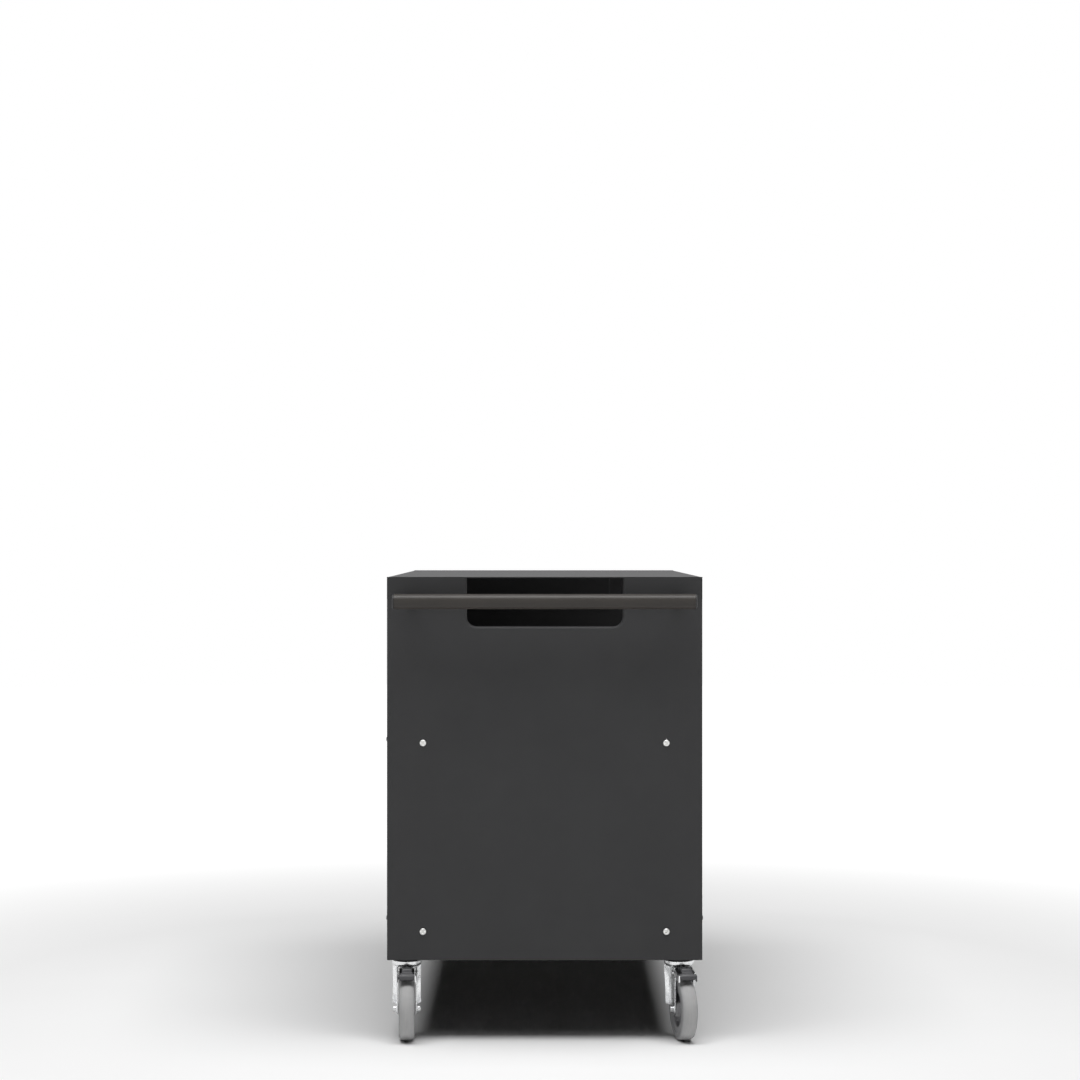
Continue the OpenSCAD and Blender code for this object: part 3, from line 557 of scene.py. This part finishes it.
def block(bm, stations):
    """A long moulding over stations of x, half width, low and high, with softened upper edges."""
    rings = []
    for x, half, low, high in stations:
        soft = min(1.2, (high - low) * 0.3)
        ring = [(-half, low + soft * 0.4), (-half, high - soft), (-half + soft * 0.35, high - soft * 0.35)]
        ring += [(-half + soft, high), (half - soft, high), (half - soft * 0.35, high - soft * 0.35)]
        ring += [(half, high - soft), (half, low + soft * 0.4)]
        ring += [(half - soft * 0.6, low), (-half + soft * 0.6, low)]
        rings.append([(x, y, z) for y, z in ring])
    ring_faces(bm, rings)


def pedal_with(hook):
    """A foot pedal: a housing round the rivet, a narrow ribbed arm, a lip over the tread and one hook."""
    def build(bm):
        # The housing and the lip
        block(bm, [
            (22, 13.6, 131.2, 137.6), (24.2, 14.8, 129.8, 140.6), (27.5, 14.9, 129.5, 142.6),
            (34, 14.9, 129.5, 142.9), (37, 14.9, 129.5, 141.2), (39, 14.8, 129.5, 137.6),
            (42, 14.6, 129.5, 135.4), (52, 14.4, 129.3, 134.8), (60, 14.6, 128.6, 134.8),
            (64.5, 15.0, 127.6, 136.6), (68, 15.1, 126.6, 137.0), (70.8, 15.1, 125.9, 135.6),
            (72.6, 15.0, 125.8, 133.2), (73.4, 14.6, 126.2, 131.6), (73.8, 13.8, 127.0, 130.2),
        ])
        # The arm, with a step and a band across its steep front, and the ribs on its top
        block(bm, [
            (32.5, 9.2, 136, 143.8), (33.6, 9.5, 134, 146.0), (35.5, 9.6, 132, 146.9),
            (60.4, 9.6, 131, 146.9), (61.8, 9.6, 131, 146.3), (64.0, 9.8, 130, 143.3),
            (64.3, 9.9, 130, 141.5), (65.8, 10.6, 130, 140.9), (67.0, 11.6, 129, 139.2),
            (67.3, 12.2, 129, 137.9), (69.2, 13.6, 128, 136.4), (70.6, 14.4, 128, 134.8),
        ])
        for x, high in ((39.0, 147.7), (43.5, 147.9), (48.0, 147.9), (52.5, 147.8), (57.0, 147.6)):
            rib = []
            for y, top in ((-8.8, high - 0.8), (-7.8, high), (7.8, high), (8.8, high - 0.8)):
                rib.append([(x - 1.4, y, 145.6), (x - 1.0, y, top - 0.3), (x - 0.5, y, top),
                            (x + 0.5, y, top), (x + 1.0, y, top - 0.3), (x + 1.4, y, 145.6)])
            ring_faces(bm, rib)
        # The hook, which hangs from the lip on one side of the tread: first its bridge, then its skirt
        bridge, skirt = [], []
        ends = [(63.4, 129.4, 134.4), (64.4, 128.6, 135.8), (68, 127.8, 136.2)]
        ends += [(71.0, 127.2, 134.8), (72.4, 127.4, 132.8)]
        for x, low, high in ends:
            shape = [(13.6, low), (18.9, low), (19.2, low + 0.5), (19.2, high - 1.2), (18.8, high - 0.4)]
            shape += [(18.0, high), (13.6, high)]
            bridge.append([(x, hook * y, z) for y, z in shape])
        tips = [(63.4, 127.6), (64.4, 126.2), (66.4, 123.6), (69.0, 122.0)]
        tips += [(71.4, 121.6), (72.6, 122.2), (73.2, 123.8)]
        for x, low in tips:
            shape = [(17.2, 131), (17.2, low + 0.5), (17.6, low), (18.8, low), (19.2, low + 0.5)]
            shape += [(19.2 if x < 71 else 18.6, 131)]
            skirt.append([(x, hook * y, z) for y, z in shape])
        ring_faces(bm, bridge)
        ring_faces(bm, skirt)
    return build


def build_races(bm):
    """The fixed upper race over each fork, with its neck up to the tray."""
    for x, y, _ in CORNERS.values():
        place = Matrix.Translation((x, y, 0))
        profile = [(6.05, 146.85), (16.2, 146.85), (17.0, 147.6), (17.0, 151.9), (17.4, 152.35)]
        profile += [(20.8, 152.35), (21.7, 152.9), (22.0, 153.8), (22.0, 157.2), (21.5, 158.4), (20.2, 159.0)]
        profile += [(18.2, 159.3), (17.2, 160.2), (17.0, 161.4), (17.0, 163.0), (6.05, 163.0)]
        turned(bm, profile, 64, place)


for corner, (x, y, turn) in CORNERS.items():
    swivel = frame_at(x, y, 0, turn)
    wheel = swivel @ Matrix.Translation((TRAIL * MM, 0, AXLE * MM))
    hook = HOOKS[corner]
    for word, body, build, material, solid, slot, place, smooth, bevel in (
        ("pressed_fork", "swivel", fork_with(hook), ZINC, "fork", "zinc", swivel, 34, 0),
        ("axle_bolt", "swivel", build_axle, ZINC, "axle", "zinc", swivel, 30, 0),
        ("pedal_rivet", "swivel", build_pin, ZINC, "pedal_pin", "zinc", swivel, 40, 0),
        ("tread", "wheel", build_tyre, TYRE, "tyre", "tyre_rubber", wheel, 40, 0),
        ("moulded_hub", "wheel", build_hub, HUB, "hub", "hub_plastic", wheel, 34, 0),
        ("ribbed_pedal", "brake", pedal_with(hook), PEDAL, "pedal", "pedal_plastic", swivel, 30, 0.35),
    ):
        name, body, solid = (f"{part}_{corner}" for part in (word, body, solid))
        make_piece(name, body, build, material, [solid], place, smooth, bevel)

make_piece("ball_races", "cabinet", build_races, RACE_PAINTED_SHADE, ["upper_races"], smooth=36)


# Side bars

# A bar's place as X and Z, its radius and half its length, and a post's place along it and radius
BAR_PLACE = (612, 880)
BAR_RADIUS = 15
BAR_HALF = 298
POST_PLACE = 264
POST_RADIUS = 9


def bar_on(side):
    """A round bar with eased ends."""
    def build(bm):
        place = Matrix.Translation((side * BAR_PLACE[0], 0, BAR_PLACE[1])) @ ALONG_Y
        profile = [(BAR_RADIUS - 2, -BAR_HALF), (BAR_RADIUS - 0.5, -BAR_HALF), (BAR_RADIUS, -BAR_HALF + 0.5)]
        profile += [(BAR_RADIUS, BAR_HALF - 0.5), (BAR_RADIUS - 0.5, BAR_HALF), (BAR_RADIUS - 2, BAR_HALF)]
        turned(bm, profile, 96, place)
    return build


def build_caps(bm):
    """A plug in each end of both bars, with a dished and rounded head."""
    for side in (-1, 1):
        for end in (-1, 1):
            place = Matrix.Translation((side * BAR_PLACE[0], end * BAR_HALF, BAR_PLACE[1]))
            place = place @ Matrix.Rotation(-end * math.pi / 2, 4, "X")
            profile = [(0.02, -14.0), (12.6, -14.0), (12.95, -13.0), (12.95, 0.05), (14.9, 0.05), (15.0, 0.4)]
            profile += [(14.9, 1.2), (14.2, 2.3), (12.6, 2.9), (10.4, 3.0), (9.8, 2.7), (9.2, 2.6)]
            profile += [(0.02, 2.6)]
            turned(bm, profile, 72, place)


def build_posts(bm):
    """Posts with a shoulder against the panel and an end cut to the bar's round."""
    steps = 48
    # Stations by their distance from the table's middle, and the radius there
    stations = [(560.0, 8.2), (560.3, 8.8), (561.0, 9.0), (570, 9.0), (584, 9.0), (592, 9.0), (None, 9.0)]
    for side in (-1, 1):
        for end in (-1, 1):
            rings = []
            for x, radius in stations:
                ring = []
                for angle in angles(steps):
                    y, z = radius * math.cos(angle), radius * math.sin(angle)
                    reach = x or BAR_PLACE[0] - math.sqrt(BAR_RADIUS ** 2 - z * z)
                    ring.append((side * reach, end * POST_PLACE + y, BAR_PLACE[1] + z))
                rings.append(ring)
            ring_faces(bm, rings)
            # The weld's bead round the post
            bead = []
            for angle in angles(steps):
                y, z = math.cos(angle), math.sin(angle)
                ripple = 1.1 + 0.18 * math.sin(angle * 14 + end)
                reach = BAR_PLACE[0] - math.sqrt(BAR_RADIUS ** 2 - (POST_RADIUS * z) ** 2)
                centre = Vector((side * (reach - 0.9), end * POST_PLACE, BAR_PLACE[1]))
                centre += Vector((0, y, z)) * POST_RADIUS
                out = Vector((0, y, z)) * ripple
                back = Vector((-side, 0, 0)) * ripple
                bead.append([centre + out * math.cos(a) + back * math.sin(a) for a in angles(6)])
            loop_faces(bm, bead)


for side, word in ((1, "right"), (-1, "left")):
    make_piece(f"round_bar_{word}", "cabinet", bar_on(side), BAR, [f"bar_tube_{word}"])
make_piece("bar_end_caps", "cabinet", build_caps, BLACK, ["bar_caps"], smooth=32)
make_piece("welded_posts", "cabinet", build_posts, BAR, ["bar_posts"], smooth=36)


# Screws

# Side screws as (Y, Z), frame screws as (sign of the face, Z), and where the last two kinds sit along X
SIDE_SCREWS = [(y, z) for y in (-243, 243) for z in (220, 596.5)]
FRAME_SCREWS = [(-1, 245), (-1, 603), (1, 245)]
FRAME_SEAT = 540
POST_SEAT = 558


def build_side_screws(bm):
    for side in (-1, 1):
        for y, z in SIDE_SCREWS:
            place = Matrix.Translation((side * HALF_WIDTH, y, z))
            place = place @ Matrix.Rotation(side * math.pi / 2, 4, "Y")
            dome_screw(bm, place, 6.7, 3.2, 3.0, 16)


def build_frame_screws(bm):
    for side in (-1, 1):
        for face, z in FRAME_SCREWS:
            place = Matrix.Translation((side * FRAME_SEAT, face * HALF_DEPTH, z))
            place = place @ Matrix.Rotation(-face * math.pi / 2, 4, "X")
            dome_screw(bm, place, 4.8, 2.4, 2.5, 16, 1.1)


def build_post_screws(bm):
    for side in (-1, 1):
        for end in (-1, 1):
            place = Matrix.Translation((side * POST_SEAT, end * POST_PLACE, BAR_PLACE[1]))
            place = place @ Matrix.Rotation(-side * math.pi / 2, 4, "Y")
            dome_screw(bm, place, 7.0, 4.0, 4.0, 26, 1.8)


for name, build, material, solid, slot in (
    ("side_pan_screws", build_side_screws, SCREW_ZINC, "side_screws", "zinc"),
    ("frame_pan_screws", build_frame_screws, DARK_STEEL, "frame_screws", "dark_screw"),
    ("post_pan_screws", build_post_screws, SCREW_ZINC, "post_screws", "zinc"),
):
    make_piece(name, "cabinet", build, material, [solid], smooth=30)

# The sheet metal keeps its solids: their cut edges are eased as a press and a coat of paint leave them
for name, node in nodes.items():
    if SLOTS[name] in ("panel_paint", "inner_paint"):
        ease = node.modifiers.new("ease", "BEVEL")
        ease.width = 0.35 * MM
        ease.segments = 2
        ease.limit_method = "ANGLE"
        ease.angle_limit = math.radians(40)


# Stage, lights and camera

FLOOR_RADIUS = 12
# The camera's focal length in the photograph's pixels, and the photograph's width
FOCAL = 2536
PHOTO_WIDTH = 1080
SENSOR = 36


def floor_material():
    """White round the table, turning into an evenly glowing white further out that meets the backdrop."""
    m = Nodes("floor_white")
    cloud = m.noise(0.7, 3, 0.5, seed=4)
    reach = m.add("ShaderNodeVectorMath", operation="LENGTH")
    m.join(m.place, reach.inputs[0])
    far = m.span(reach.outputs["Value"], 0, 1, 1.3, 2.6)
    near = m.blend(m.span(cloud, 0, 1), grey((243, 243, 243)), grey((247, 247, 247)))
    m.set(Base_Color=m.blend(far, near, (0, 0, 0, 1)), Roughness=0.8, Specular_IOR_Level=0.0)
    m.set(Emission_Color=(1, 1, 1, 1), Emission_Strength=m.maths("MULTIPLY", far, 1.1))
    return m.material


def make_stage():
    """A plain round floor."""
    mesh = bpy.data.meshes.new("floor")
    rim = [(FLOOR_RADIUS * math.cos(a), FLOOR_RADIUS * math.sin(a), 0) for a in angles(96)]
    mesh.from_pydata(rim, [], [tuple(range(len(rim)))])
    mesh.materials.append(floor_material())
    floor = bpy.data.objects.new("floor", mesh)
    bpy.context.scene.collection.objects.link(floor)


def area_light(name, place, aim, size, power):
    data = bpy.data.lights.new(name, "AREA")
    data.shape = "RECTANGLE"
    data.size, data.size_y = size
    data.energy = power
    lamp = bpy.data.objects.new(name, data)
    lamp.location = place
    lamp.rotation_euler = (Vector(aim) - Vector(place)).to_track_quat("-Z", "Y").to_euler()
    bpy.context.scene.collection.objects.link(lamp)


def make_world():
    """A backdrop, white round the horizon and darker overhead, seen and mirrored but without soft light."""
    world = bpy.data.worlds.new("studio")
    world.use_nodes = True
    world.cycles_visibility.diffuse = False
    tree = world.node_tree
    place = tree.nodes.new("ShaderNodeTexCoord")
    split = tree.nodes.new("ShaderNodeSeparateXYZ")
    rise = tree.nodes.new("ShaderNodeMapRange")
    for key, number in {"From Min": 0.3, "From Max": 0.75, "To Min": 1.0, "To Max": 0.2}.items():
        rise.inputs[key].default_value = number
    tree.links.new(place.outputs["Generated"], split.inputs[0])
    tree.links.new(split.outputs["Z"], rise.inputs["Value"])
    tree.links.new(rise.outputs["Result"], tree.nodes["Background"].inputs["Strength"])
    tree.nodes["Background"].inputs["Color"].default_value = (1, 1, 1, 1)
    return world


def make_lights():
    area_light("overhead", (1.35, 0, 6.8), (0.1, 0, 0.0), (7.2, 4.0), 560)
    area_light("front_fill", (4.4, 0, 6.4), (0.5, 0, 0.6), (5.0, 2.0), 26)
    bpy.context.scene.world = make_world()
    bpy.context.scene.view_settings.view_transform = "Standard"


def make_camera():
    data = bpy.data.cameras.new("camera")
    data.sensor_width = SENSOR
    data.lens = FOCAL / PHOTO_WIDTH * SENSOR
    data.clip_end = 200
    camera = bpy.data.objects.new("camera", data)
    camera.location = (5.622, -0.0093, 1.0017)
    camera.rotation_euler = (math.pi / 2, 0, math.pi / 2)
    bpy.context.scene.collection.objects.link(camera)
    bpy.context.scene.camera = camera


make_camera()
make_stage()
make_lights()
